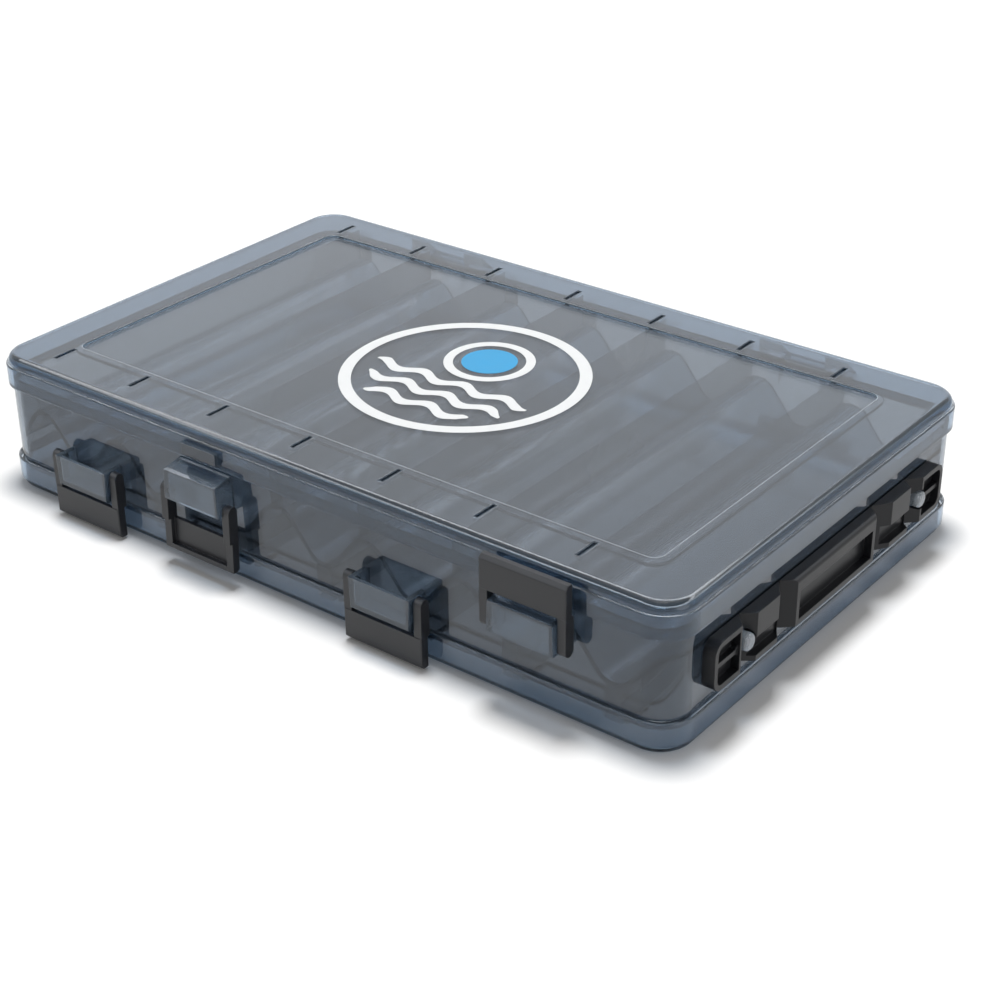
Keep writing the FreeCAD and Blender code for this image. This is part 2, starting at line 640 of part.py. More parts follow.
def build_hinges(side, turned):
    lid_knuckles = []
    tray_knuckles = []
    middle = size("hinge_middle")
    step = middle / 2 + size("knuckle_gap") + size("hinge_side") / 2
    for hinge, way in (("left", -1), ("right", 1)):
        x = way * number(f"{HALF_LENGTH} - hinge_end")
        tray_knuckles.append(build_knuckle(f"{side}_{hinge}_tray_knuckle", x, "hinge_middle", False))
        for part, offset in (("a", -step), ("b", step)):
            name = f"{side}_{hinge}_lid_knuckle_{part}"
            lid_knuckles.append(build_knuckle(name, x + offset, "hinge_side", True))
        pin = document.addObject("Part::Cylinder", f"{side}_{hinge}_pin")
        pin.setExpression("Radius", cell("hinge_pin_radius"))
        pin.setExpression("Height", cell("hinge_middle + 2 * hinge_side + 2 * knuckle_gap"))
        length = number("hinge_middle + 2 * hinge_side + 2 * knuckle_gap")
        start = Vector(x - length / 2, number(HINGE_Y), number(RIM_LOW))
        lying = Placement(start, Rotation(Vector(0, 1, 0), 90))
        keep(f"{side}_hinge_pin_{hinge}", pin, case_placement(turned).multiply(lying))
    for label, members in ((f"{side}_lid_knuckles", lid_knuckles), (f"tray_knuckles_{side}", tray_knuckles)):
        group = document.addObject("Part::Compound", label)
        group.Links = members
        keep(label, group, case_placement(turned))


# Handle strap, in sections that fold where the strap is thin


def strap_low():
    return f"{MIDDLE} - strap_tall / 2"


def build_strap_end(label, way):
    body = new_body(label)
    start = "strap_notch_y + strap_joint_gap / 2"
    plan = new_sketch(body, f"{label}_plan", "XY_Plane", strap_low())
    corners = [(STRAP_BACK, start), (STRAP_BACK, "strap_end_y"), (STRAP_FRONT, "strap_end_y"),
               (STRAP_FRONT, f"{start} + strap_end_slope")]
    pad(body, f"{label}_block", outline(plan, corners), "strap_tall")
    fillet(body, f"{label}_corners", "strap_corner", every(along("X"), at("Y", size("strap_end_y"))))
    hollow = new_sketch(body, f"{label}_hollow", "YZ_Plane", STRAP_FRONT)
    inner = f"{start} + strap_end_slope + strap_rim / 2"
    low = f"{strap_low()} + strap_rim"
    high = f"{strap_low()} + strap_tall - strap_rim"
    rectangle(hollow, inner, "strap_end_y - strap_rim", low, high)
    pocket(body, f"{label}_front_hollow", hollow, SCOOP_DEEP)
    hollow_end = every(along("X"), at("Y", number("strap_end_y - strap_rim")))
    fillet(body, f"{label}_hollow_corners", "strap_corner - strap_rim", hollow_end)
    rib = new_sketch(body, f"{label}_rib", "YZ_Plane", STRAP_BACK)
    rib_low, rib_high = f"{MIDDLE} - strap_wall / 2", f"{MIDDLE} + strap_wall / 2"
    rectangle(rib, inner, "strap_end_y - strap_rim", rib_low, rib_high)
    rib_height = "strap_proud + tray_inset - strap_gap - strap_wall / 2"
    pad(body, f"{label}_middle_rib", rib, rib_height)
    boss = circle(new_sketch(body, f"{label}_boss", "YZ_Plane", STRAP_BACK), inner, MIDDLE, "strap_wall")
    pad(body, f"{label}_rib_end", boss, rib_height)
    cut_for_peg(body, label, way)
    return keep(label, body, strap_placement(way))


def cut_for_peg(body, label, way):
    # the pegs stay on the case while the strap has slid past them
    place = "peg_y + strap_shift" if way > 0 else "peg_y - strap_shift"
    hole = new_sketch(body, f"{label}_peg_hole", "YZ_Plane", HALF_LENGTH)
    circle(hole, place, MIDDLE, "peg_radius + peg_play")
    pocket(body, f"{label}_peg_space", hole, "4 * strap_proud", midplane=True)


def strap_placement(way=1):
    return side_placement(way, -size("strap_shift"))


def side_placement(way, shift=0.0):
    # the near half of the strap is the far half turned about X through the middle of the case
    placement = case_placement().multiply(Placement(Vector(0, shift, 0), Rotation()))
    if way > 0:
        return placement
    over = Placement(Vector(0, 0, size("box_height")), Rotation(Vector(1, 0, 0), 180))
    return placement.multiply(over)


def build_strap_link(label, way):
    body = new_body(label)
    outer = "strap_notch_y - strap_joint_gap / 2"
    inner = "strap_fold_y + strap_joint_gap / 2"
    plan = new_sketch(body, f"{label}_plan", "XY_Plane", strap_low())
    corners = [(STRAP_BACK, inner), (STRAP_FRONT, f"{inner} + strap_inner_slope"),
               (STRAP_FRONT, f"{outer} - strap_link_slope"), (STRAP_BACK, outer)]
    pad(body, f"{label}_block", outline(plan, corners), "strap_tall")
    scoop = new_sketch(body, f"{label}_scoop_outline", "YZ_Plane", STRAP_FRONT)
    # the scoop is in the lower half, and the near link is turned over
    edge = f"{strap_low()} + strap_rim" if way > 0 else f"{strap_low()} + strap_tall - strap_rim"
    low, high = (edge, MIDDLE) if way > 0 else (MIDDLE, edge)
    start, end = f"{inner} + strap_inner_slope / 2", f"{outer} - strap_link_slope / 2"
    rectangle(scoop, start, end, low, high)
    pocket(body, f"{label}_scoop", scoop, SCOOP_DEEP)
    if way < 0:
        cut_for_peg(body, label, way)
    return keep(label, body, strap_placement(way))


def build_grip():
    body = new_body("handle_grip")
    end = "strap_fold_y - strap_joint_gap / 2"
    front_end = f"{end} - strap_grip_slope"
    plan = new_sketch(body, "grip_plan", "XY_Plane", strap_low())
    outline(plan, [(STRAP_BACK, minus(end)), (STRAP_FRONT, minus(front_end)),
                   (STRAP_FRONT, front_end), (STRAP_BACK, end)])
    pad(body, "grip_block", plan, "strap_tall")
    fillet(body, "grip_top_edge", "strap_wall", every(
        along("Y"), at("X", number(STRAP_FRONT)), at("Z", number(f"{strap_low()} + strap_tall"))))
    scoop = new_sketch(body, "grip_scoop_outline", "YZ_Plane", STRAP_FRONT)
    half = f"{front_end} - strap_rim"
    low = f"{strap_low()} + strap_rim"
    rectangle(scoop, minus(half), half, low, f"{strap_low()} + strap_tall - grip_band")
    pocket(body, "grip_scoop", scoop, SCOOP_DEEP)
    return keep("handle_grip", body, strap_placement())


def build_peg(label, way):
    body = new_body(label)
    sketch = new_sketch(body, f"{label}_section", "YZ_Plane", TRAY_FACE_X)
    circle(sketch, "peg_y", MIDDLE, "peg_radius")
    pad(body, f"{label}_shank", sketch, "tray_inset + peg_proud")
    fillet(body, f"{label}_end", "peg_round", at("X", number(f"{HALF_LENGTH} + peg_proud")))
    return keep(label, body, side_placement(way))


def build_all():
    outer_x = number(f"{HALF_LENGTH} - outer_latch_end")
    inner_x = -size("inner_latch_x")
    build_tray_frame()
    build_web()
    for index in range(int(size("divider_count"))):
        build_divider(f"upper_divider_{index + 1}", index, False)
        build_divider(f"lower_divider_{index + 1}", index, True)
    for side, turned in (("top", False), ("bottom", True)):
        build_lid(f"{side}_lid", turned)
        build_nub(f"{side}_lid_nub_outer", outer_x, turned)
        build_nub(f"{side}_lid_nub_inner", inner_x, turned)
        build_catch(f"{side}_catch_outer", outer_x, turned)
        build_catch(f"{side}_catch_inner", inner_x, turned)
        build_latch(f"{side}_latch_outer", outer_x, turned, False)
        build_latch(f"{side}_latch_inner", inner_x, turned, side == "top")
        build_hinges(side, turned)
    for side, way in (("near", -1), ("far", 1)):
        build_peg(f"handle_peg_{side}", way)
        build_strap_end(f"handle_end_{side}", way)
        build_strap_link(f"handle_link_{side}", way)
    build_grip()


def check_all():
    for item in document.Objects:
        if "Invalid" in item.State or "Error" in item.State:
            raise ValueError(f"{item.Label} failed: {item.State}")
    for label, item in sub_parts.items():
        shape = item.Shape
        if shape.isNull() or not shape.isValid() or shape.Volume <= 0:
            raise ValueError(f"{label} has no valid shape")


def write_all():
    os.makedirs("parts", exist_ok=True)
    for label, item in sub_parts.items():
        item.Shape.exportStep(f"parts/{label}.step")


build_all()
document.recompute()
check_all()
write_all()
print(f"{len(sub_parts)} sub-parts")
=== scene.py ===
import json
import math

import bmesh
import bpy
from mathutils import Matrix, Vector


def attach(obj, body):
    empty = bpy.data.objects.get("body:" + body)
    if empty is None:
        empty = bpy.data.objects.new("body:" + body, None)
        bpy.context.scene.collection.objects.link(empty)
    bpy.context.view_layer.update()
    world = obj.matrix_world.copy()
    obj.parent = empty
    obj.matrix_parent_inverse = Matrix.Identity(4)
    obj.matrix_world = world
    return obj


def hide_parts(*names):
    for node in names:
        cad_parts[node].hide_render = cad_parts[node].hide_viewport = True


# Two-sided lure box of smoke-tinted plastic. Metres, row frame: X to the handle, -Y the latch side, Z up.

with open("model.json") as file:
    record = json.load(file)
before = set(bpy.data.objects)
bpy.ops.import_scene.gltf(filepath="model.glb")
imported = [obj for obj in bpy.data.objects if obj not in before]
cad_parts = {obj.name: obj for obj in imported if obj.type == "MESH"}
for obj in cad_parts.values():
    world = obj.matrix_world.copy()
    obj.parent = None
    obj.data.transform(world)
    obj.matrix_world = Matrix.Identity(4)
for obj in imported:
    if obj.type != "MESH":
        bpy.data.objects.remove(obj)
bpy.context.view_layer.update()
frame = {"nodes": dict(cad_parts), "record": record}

MM = 0.001

# Sizes that the scene's own pieces share with the part's source

SHIFT_X = -1.7 * MM  # middle of the case; the handle moves it off the middle of the whole object
CASE_LENGTH = 277.0 * MM
CASE_WIDTH = 171.5 * MM
CASE_HEIGHT = 49.5 * MM
PANEL_END = 20.1 * MM  # end of the case to the sunk panel
PANEL_SIDE = 20.95 * MM  # side of the case to the sunk panel
PANEL_DROP = 1.2 * MM
PANEL_CORNER = 4.0 * MM
TRAY_INSIDE_X = 135.0 * MM  # middle of the tray to the inside of its end wall
TRAY_INSIDE_Y = 82.25 * MM
TRAY_CORNER = 8.5 * MM
PITCH = 36.0 * MM  # one wave of the web, and one slot of the lid to the next
FIRST_CREST = -117.0 * MM
WEB_WALL = 1.7 * MM
WEB_WAVE = 7.0 * MM  # middle of the web to a crest
WEB_BEND = 7.0 * MM  # radius of the web at crests and troughs
SLOT_GAP = 1.8 * MM  # edge of the panel to a slot
SLOT_LONG = 9.4 * MM
SLOT_COUNT = 7  # slots along one side of the panel

# Camera solved from the edges of the case in the photograph

AZIMUTH = math.radians(37.9284)
ELEVATION = math.radians(29.0498)
ROLL = math.radians(-0.5017)
DISTANCE = 680.177 * MM
TARGET = Vector((6.0171 * MM, 6.6177 * MM, 0.0))
LENS = 71.426
SENSOR = 36.0
CLIP_START = 0.02
CLIP_END = 20.0


# Node helpers


def add(tree, kind, settings=None, **inputs):
    # a new node; its inputs go by name, with _ for a space, or by number as i0, i1 and so on
    node = tree.nodes.new(kind)
    for name, value in (settings or {}).items():
        setattr(node, name, value)
    for name, value in inputs.items():
        numbered = name[0] == "i" and name[1:].isdigit()
        socket = node.inputs[int(name[1:]) if numbered else name.replace("_", " ")]
        if isinstance(value, bpy.types.NodeSocket):
            tree.links.new(value, socket)
        elif socket.type == "RGBA":
            socket.default_value = (*value, 1.0)
        else:
            socket.default_value = value
    return node


def new_material(name):
    material = bpy.data.materials.new(name)
    material.use_nodes = True
    material.node_tree.nodes.clear()
    return material, material.node_tree


def object_place(tree):
    return add(tree, "ShaderNodeTexCoord").outputs["Object"]


def noise(tree, place, width, detail):
    # width is the width of one blotch in metres
    return add(tree, "ShaderNodeTexNoise", Vector=place, Scale=1.0 / width, Detail=detail).outputs["Fac"]


def ranged(tree, value, low, high, start=0.0, end=1.0):
    # the value from start to end becomes one from low to high
    return add(tree, "ShaderNodeMapRange", Value=value, From_Min=start, From_Max=end, To_Min=low,
               To_Max=high).outputs["Result"]


def worked_out(tree, operation, *values):
    inputs = {f"i{number}": value for number, value in enumerate(values)}
    return add(tree, "ShaderNodeMath", {"operation": operation}, **inputs).outputs[0]


def mixed(tree, factor, first, second):
    # inputs 6 and 7 and output 2 are the Mix node's colours
    return add(tree, "ShaderNodeMix", {"data_type": "RGBA"}, i0=factor, i6=first, i7=second).outputs[2]


def shade(colour, share):
    return [share * c for c in colour]


def bumped(tree, height, strength, depth, rounding=None, samples=None):
    # a normal with bumps of the given depth, and with edges rounded to a radius where one is given
    inputs = {"Strength": strength, "Distance": depth, "Height": height}
    if rounding:
        bevel = add(tree, "ShaderNodeBevel", {"samples": samples}, Radius=rounding)
        inputs["Normal"] = bevel.outputs["Normal"]
    return add(tree, "ShaderNodeBump", **inputs).outputs["Normal"]


def joined(tree, share, first, second):
    return add(tree, "ShaderNodeMixShader", i0=share, i1=first.outputs[0], i2=second.outputs[0])


def show(tree, shader, kind="Material"):
    add(tree, f"ShaderNodeOutput{kind}", Surface=shader.outputs[0])


# Materials


PLASTIC_IOR = 1.53
BLACK_IOR = 1.5
PLATE_IOR = 1.3
# The two levels below set where the painted shade of upright faces and of rounded edges lies
SIDE_LEVEL = (0.1, 0.3)  # upward part of the normal where upright faces turn into rounded edges
FLAT_LEVEL = (0.85, 0.97)  # and where the rounded edges turn into flat faces


# Painted shade by slope: upright faces get the side colour, rounded edges the edge colour, flat faces keep
# their own
def painted_shade_by_slope(tree, upward, side, edge, flat):
    level = worked_out(tree, "ABSOLUTE", upward)
    leaning = ranged(tree, level, 0.0, 1.0, *SIDE_LEVEL)
    lying = ranged(tree, level, 0.0, 1.0, *FLAT_LEVEL)
    return mixed(tree, lying, mixed(tree, leaning, side, edge), flat)


def smoke_plastic(name, clear, milk, veil, rough, side=None, edge=None):
    # clear: tint of light that passes, milk: share scattered at the surface, veil: tint of what shines
    # through onto other things, side and edge: painted shade, darker colours given to upright faces and to
    # rounded edges
    material, tree = new_material(name)
    coordinates = add(tree, "ShaderNodeTexCoord")
    place = coordinates.outputs["Object"]
    flow = noise(tree, place, 50 * MM, detail=2.0)
    waves = noise(tree, place, 20 * MM, detail=1.0)
    normal = bumped(tree, waves, strength=0.12, depth=0.05 * MM, rounding=0.35 * MM, samples=4)
    colour = mixed(tree, flow, shade(clear, 0.95), clear)
    # painted shade on upright faces and rounded edges, by the slope of the normal
    if side:
        upward = add(tree, "ShaderNodeSeparateXYZ", Vector=coordinates.outputs["Normal"]).outputs["Z"]
        colour = painted_shade_by_slope(tree, upward, side, edge, colour)
    body = add(tree, "ShaderNodeBsdfPrincipled", Base_Color=colour, IOR=PLASTIC_IOR, Normal=normal,
               Roughness=ranged(tree, flow, rough, rough * 1.8), Transmission_Weight=1.0 - milk)
    through = add(tree, "ShaderNodeBsdfTransparent", Color=veil)
    rays = add(tree, "ShaderNodeLightPath").outputs
    soft = worked_out(tree, "MAXIMUM", rays["Is Shadow Ray"], rays["Is Diffuse Ray"])
    show(tree, joined(tree, soft, body, through))
    return material


def thin_plastic(name, clear, shine, rough):
    # thin clear plates: light goes straight through, with a faint shine that grows at a slant
    material, tree = new_material(name)
    flow = noise(tree, object_place(tree), 30 * MM, detail=2.0)
    through = add(tree, "ShaderNodeBsdfTransparent", Color=mixed(tree, flow, shade(clear, 0.97), clear))
    shell = add(tree, "ShaderNodeBsdfPrincipled", Roughness=ranged(tree, flow, rough, rough * 1.5),
                Base_Color=mixed(tree, flow, (0.3, 0.33, 0.36), (0.34, 0.37, 0.4)))
    slant = add(tree, "ShaderNodeFresnel", IOR=PLATE_IOR).outputs[0]
    share = worked_out(tree, "MULTIPLY_ADD", slant, 0.5, shine)
    show(tree, joined(tree, share, through, shell))
    return material


def black_plastic(name, colour, rough, gloss):
    # moulded black plastic with a fine grain, and patches a little lighter and duller
    material, tree = new_material(name)
    place = object_place(tree)
    grain = noise(tree, place, 0.5 * MM, detail=4.0)
    patches = noise(tree, place, 12 * MM, detail=3.0)
    normal = bumped(tree, grain, strength=0.35, depth=0.03 * MM, rounding=0.3 * MM, samples=6)
    body = add(tree, "ShaderNodeBsdfPrincipled", Base_Color=mixed(tree, patches, colour, shade(colour, 1.25)),
               IOR=BLACK_IOR, Roughness=ranged(tree, patches, rough, rough + 0.12), Normal=normal,
               Specular_IOR_Level=gloss)
    show(tree, body)
    return material


def drawn_steel(name):
    # the lines of drawing run along the pins
    material, tree = new_material(name)
    stretched = add(tree, "ShaderNodeMapping", Vector=object_place(tree), Scale=(0.05, 1.0, 1.0)).outputs[0]
    lines = noise(tree, stretched, 0.3 * MM, detail=4.0)
    body = add(tree, "ShaderNodeBsdfPrincipled", Metallic=1.0, Roughness=ranged(tree, lines, 0.22, 0.4),
               Base_Color=mixed(tree, lines, (0.5, 0.5, 0.51), (0.68, 0.68, 0.69)))
    show(tree, body)
    return material


def printed_ink(name, colour):
    material, tree = new_material(name)
    place = object_place(tree)
    cloud = noise(tree, place, 4 * MM, detail=4.0)
    dots = noise(tree, place, 0.4 * MM, detail=2.0)
    body = add(tree, "ShaderNodeBsdfPrincipled", Base_Color=mixed(tree, cloud, shade(colour, 0.94), colour),
               Normal=bumped(tree, dots, strength=0.3, depth=0.01 * MM),
               Roughness=ranged(tree, cloud, 0.3, 0.45))
    show(tree, body)
    return material


# The lid's side and edge colours are painted shade: darker navy on its upright faces and rounded edges
LID = smoke_plastic("smoke_lid", clear=(0.55, 0.585, 0.63), milk=0.045, veil=(0.55, 0.59, 0.63), rough=0.03,
                    side=(0.22, 0.295, 0.385), edge=(0.1, 0.17, 0.25))
TRAY = smoke_plastic("smoke_tray", clear=(0.20, 0.235, 0.275), milk=0.035, veil=(0.5, 0.55, 0.6), rough=0.035)
WEB = smoke_plastic("smoke_web", clear=(0.60, 0.67, 0.74), milk=0.1, veil=(0.55, 0.6, 0.64), rough=0.08)
DIVIDER = thin_plastic("smoke_divider", clear=(0.95, 0.955, 0.96), shine=0.02, rough=0.2)
KNUCKLE = thin_plastic("smoke_knuckle", clear=(0.84, 0.865, 0.89), shine=0.06, rough=0.15)
CATCH = smoke_plastic("smoke_catch", clear=(0.30, 0.38, 0.47), milk=0.12, veil=(0.5, 0.55, 0.6), rough=0.06)
PEG = smoke_plastic("smoke_peg", clear=(0.78, 0.84, 0.9), milk=0.2, veil=(0.7, 0.75, 0.8), rough=0.05)
# milkier and lighter than the lid: painted highlight along the panel's edge
BEAD_PAINTED_HIGHLIGHT = smoke_plastic("smoke_bead_painted_highlight", clear=(0.6, 0.66, 0.72), milk=0.5, veil=(0.7, 0.75, 0.8), rough=0.1)
LATCH = black_plastic("black_latch", (0.011, 0.012, 0.0145), rough=0.36, gloss=0.5)
STRAP = black_plastic("black_strap", (0.007, 0.0075, 0.009), rough=0.3, gloss=0.28)
# dark navy of the frames in the slots, painted shade
SLOT_SHADE = smoke_plastic("slot_painted_shade", clear=(0.07, 0.12, 0.18), milk=0.3, veil=(0.2, 0.25, 0.3), rough=0.1)
STEEL = drawn_steel("hinge_steel")
WHITE_INK = printed_ink("white_ink", (0.7, 0.715, 0.72))
BLUE_INK = printed_ink("blue_ink", (0.02, 0.29, 0.56))

# A node whose name holds one of these words has its own material, and the others have that of their slot
WORD_MATERIALS = (("divider", DIVIDER), ("knuckles", KNUCKLE), ("compartment_web", WEB), ("peg", PEG),
                  ("catch", CATCH), ("nub", CATCH))
SLOT_MATERIALS = {"smoke_lid": LID, "smoke_tray": TRAY, "black_latch": LATCH, "black_strap": STRAP,
                  "hinge_steel": STEEL}


def material_for(name, slot):
    for word, material in WORD_MATERIALS:
        if word in name:
            return material
    return SLOT_MATERIALS[slot]


def paint(obj, material):
    if not obj.material_slots:
        obj.data.materials.append(material)
    for slot in obj.material_slots:
        slot.link = "OBJECT"
        slot.material = material


for part in frame["record"]["subparts"]:
    paint(frame["nodes"][part["node"]], material_for(part["node"], part["material_slot"]))


# Mesh helpers


MERGE_DISTANCE = 1e-7


def into_scene(name, data):
    obj = bpy.data.objects.new(name, data)
    bpy.context.scene.collection.objects.link(obj)
    return obj


def mesh_piece(name, points, faces, body, material):
    mesh = bpy.data.meshes.new(name)
    mesh.from_pydata([tuple(p) for p in points], [], faces)
    work = bmesh.new()
    work.from_mesh(mesh)
    bmesh.ops.remove_doubles(work, verts=work.verts, dist=MERGE_DISTANCE)
    bmesh.ops.recalc_face_normals(work, faces=work.faces)
    work.to_mesh(mesh)
    work.free()
    piece = into_scene(name, mesh)
    mesh.materials.append(material)
    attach(piece, body)
    return piece


def on_lid(x, y, level, turned):
    # a point at this level above the top of the case, or that point of the lower lid, which is turned over
    if turned:
        return Vector((SHIFT_X - x, y, -level))
    return Vector((SHIFT_X + x, y, CASE_HEIGHT + level))


def band_between(first, second, count):
    # quads between two closed loops of points, given by the number of each loop's first point
    quads = []
    for index in range(count):
        after = (index + 1) % count
        quads.append((first + index, first + after, second + after, second + index))
    return quads


# The corrugated web as one continuous sheet


WEB_ROWS = 12
WEB_ARC_STEPS = 8
WEB_CLEARANCE = 0.02 * MM
WEB_SHARP = math.radians(40)


def web_slope():
    # the web is arcs of radius WEB_BEND joined by straight slopes, each tangent to its arcs, with a quarter
    # wave PITCH / 4 long and WEB_WAVE high: returns the angle of the slope
    run = PITCH / 4
    rise = WEB_WAVE - WEB_BEND
    return math.asin(WEB_BEND / math.hypot(run, rise)) + math.atan2(rise, run)


def web_line(offset):
    # one face of the web from the left wall to the right one
    slope = web_slope()
    turns = [slope * step / WEB_ARC_STEPS for step in range(WEB_ARC_STEPS + 1)]
    crest_centre = CASE_HEIGHT / 2 + WEB_WAVE - WEB_BEND
    trough_centre = CASE_HEIGHT / 2 - WEB_WAVE + WEB_BEND
    outer = WEB_BEND + offset
    inner = WEB_BEND - offset
    points = []
    for index in range(round(2 * TRAY_INSIDE_X / (PITCH / 2))):
        left = -TRAY_INSIDE_X + index * PITCH / 2
        right = left + PITCH / 2
        rising = index % 2 == 0
        crest, trough, way = (right, left, -1) if rising else (left, right, 1)
        run = [(crest + way * outer * math.sin(t), crest_centre + outer * math.cos(t)) for t in turns]
        run += [(trough - way * inner * math.sin(t), trough_centre - inner * math.cos(t))
                for t in reversed(turns)]
        if rising:
            run.reverse()
        points += run[1:] if points else run
    return points


def web_half_depth(x):
    # half the depth of the web, which the round corners of the tray trim at the ends
    over = abs(x) - (TRAY_INSIDE_X - TRAY_CORNER)
    if over <= 0:
        return TRAY_INSIDE_Y
    return TRAY_INSIDE_Y - TRAY_CORNER + math.sqrt(max(TRAY_CORNER ** 2 - over ** 2, 0.0))


def build_web():
    outline = web_line(WEB_WALL / 2) + list(reversed(web_line(-WEB_WALL / 2)))
    count = len(outline)
    points, faces = [], []
    for row in range(WEB_ROWS + 1):
        for x, z in outline:
            depth = web_half_depth(x) - WEB_CLEARANCE
            points.append(Vector((x + SHIFT_X, depth * (2 * row / WEB_ROWS - 1), z)))
    for row in range(WEB_ROWS):
        faces += band_between(row * count, (row + 1) * count, count)
    for base in (0, WEB_ROWS * count):
        last = base + count - 1
        faces += [(base + index, base + index + 1, last - index - 1, last - index)
                  for index in range(count // 2 - 1)]
    web = mesh_piece("web_sheet", points, faces, "tray", WEB)
    web.data.shade_smooth()
    web.data.set_sharp_from_angle(angle=WEB_SHARP)
    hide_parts("compartment_web")


build_web()


# Fine bead around the sunk panel of each lid: a rounded strip along the panel's edge, of a milky lighter
# plastic that paints the light line along that edge


BEAD_CORNER_STEPS = 10
# Section of the bead: out of the panel's edge and above the top of the case
BEAD_SECTION = ((0.0, -0.05 * MM), (-0.3 * MM, -0.05 * MM), (-0.27 * MM, -0.35 * MM), (0.0, -0.6 * MM))


def rounded_loop(half_x, half_y, radius, steps):
    loop = []
    for way_x, way_y, start in ((1, 1, 0), (-1, 1, 90), (-1, -1, 180), (1, -1, 270)):
        for step in range(steps + 1):
            turn = math.radians(start + 90 * step / steps)
            loop.append((way_x * (half_x - radius) + radius * math.cos(turn),
                         way_y * (half_y - radius) + radius * math.sin(turn)))
    return loop


def build_bead(name, body, turned):
    half_x = CASE_LENGTH / 2 - PANEL_END
    half_y = CASE_WIDTH / 2 - PANEL_SIDE
    points, faces = [], []
    for grow, level in BEAD_SECTION:
        loop = rounded_loop(half_x + grow, half_y + grow, PANEL_CORNER + grow, BEAD_CORNER_STEPS)
        points += [on_lid(x, y, level, turned) for x, y in loop]
    count = len(loop)
    for ring in range(len(BEAD_SECTION)):
        after_ring = (ring + 1) % len(BEAD_SECTION)
        faces += band_between(ring * count, after_ring * count, count)
    mesh_piece(name, points, faces, body, BEAD_PAINTED_HIGHLIGHT)


build_bead("top_panel_bead", "top_lid", False)
build_bead("bottom_panel_bead", "bottom_lid", True)


# Painted shade in the slots beside the panel: thin dark frames lining the slot walls


SLOT_HALF = 0.98 * MM
SLOT_DEEP = 1.05 * MM
SLOT_TOP = 0.03 * MM  # top of the edges below the top of the case
SLOT_SHADE_WALL = 0.42 * MM
SLOT_END_GAP = 0.02 * MM


def slot_frame(x, low_y, high_y, turned):
    # the corners of a thin upright frame: outer and inner below, then outer and inner above
    points = []
    for level in (-SLOT_DEEP, -SLOT_TOP):
        for inset in (0.0, SLOT_SHADE_WALL):
            left, right = x - SLOT_HALF + inset, x + SLOT_HALF - inset
            low, high = low_y + inset, high_y - inset
            corners = ((left, low), (right, low), (right, high), (left, high))
            points += [on_lid(*corner, level, turned) for corner in corners]
    return points


# thin dark frames in every slot, painted shade where the slot walls look dark
def build_slot_shade(name, body, turned):
    near = CASE_WIDTH / 2 - PANEL_SIDE + SLOT_GAP
    far = near + SLOT_LONG
    points, faces = [], []
    for index in range(SLOT_COUNT):
        x = FIRST_CREST + index * PITCH
        for low_y, high_y in ((near, far), (-far, -near)):
            outer_low, inner_low, outer_high, inner_high = (len(points) + 4 * loop for loop in range(4))
            points += slot_frame(x, low_y + SLOT_END_GAP, high_y - SLOT_END_GAP, turned)
            for first, second in ((outer_low, outer_high), (outer_high, inner_high), (inner_high, inner_low),
                                  (inner_low, outer_low)):
                faces += band_between(first, second, 4)
    mesh_piece(name, points, faces, body, SLOT_SHADE)


build_slot_shade("top_slot_painted_shade", "top_lid", False)
build_slot_shade("bottom_slot_painted_shade", "bottom_lid", True)


# Printed mark on the upper lid: a ring, a round sun with its halo and three waves


MARK_CENTRE_Y = -1.5 * MM
INK_DEEP = 0.06 * MM
INK_GAP = 0.01 * MM
RING_OUTER = 42.0 * MM
RING_INNER = 37.8 * MM
SUN_Y = 13.0 * MM
SUN_RADIUS = 9.5 * MM
HALO_OUTER = 15.5 * MM
HALO_INNER = 12.3 * MM
CIRCLE_STEPS = 128
WAVE_LEVELS = (-8.0 * MM, -17.0 * MM, -26.0 * MM)
WAVE_REACH = 33.0 * MM  # the waves end on a circle of this radius
WAVE_THICK = 4.0 * MM
WAVE_CREST = 1.8 * MM
WAVE_LONG = 17.0 * MM
WAVE_STEPS = 96
WAVE_TIP = 0.25  # thickness of the tips, as a share of the full one
WAVE_TAPER = 0.12  # length of the tapered ends, as a share of half a wave band


def plate_from_outline(name, outline, holes, material):
    # a thin printed plate with the given outer and inner outlines
    curve = bpy.data.curves.new(name, "CURVE")
    curve.dimensions = "2D"
    curve.fill_mode = "BOTH"
    curve.extrude = INK_DEEP / 2
    for loop in [outline] + holes:
        spline = curve.splines.new("POLY")
        spline.points.add(len(loop) - 1)
        for point, (x, y) in zip(spline.points, loop):
            point.co = (x, y, 0.0, 1.0)
        spline.use_cyclic_u = True
    source = into_scene(name, curve)
    bpy.context.view_layer.update()
    mesh = bpy.data.meshes.new_from_object(source.evaluated_get(bpy.context.evaluated_depsgraph_get()))
    bpy.data.objects.remove(source)
    mesh.name = name
    level = CASE_HEIGHT - PANEL_DROP + INK_DEEP / 2 + INK_GAP
    mesh.transform(Matrix.Translation((SHIFT_X, MARK_CENTRE_Y, level)))
    mesh.materials.clear()
    mesh.materials.append(material)
    piece = into_scene(name, mesh)
    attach(piece, "top_lid")


def circle_loop(radius, y=0.0):
    turns = [2 * math.pi * step / CIRCLE_STEPS for step in range(CIRCLE_STEPS)]
    return [(radius * math.cos(turn), y + radius * math.sin(turn)) for turn in turns]


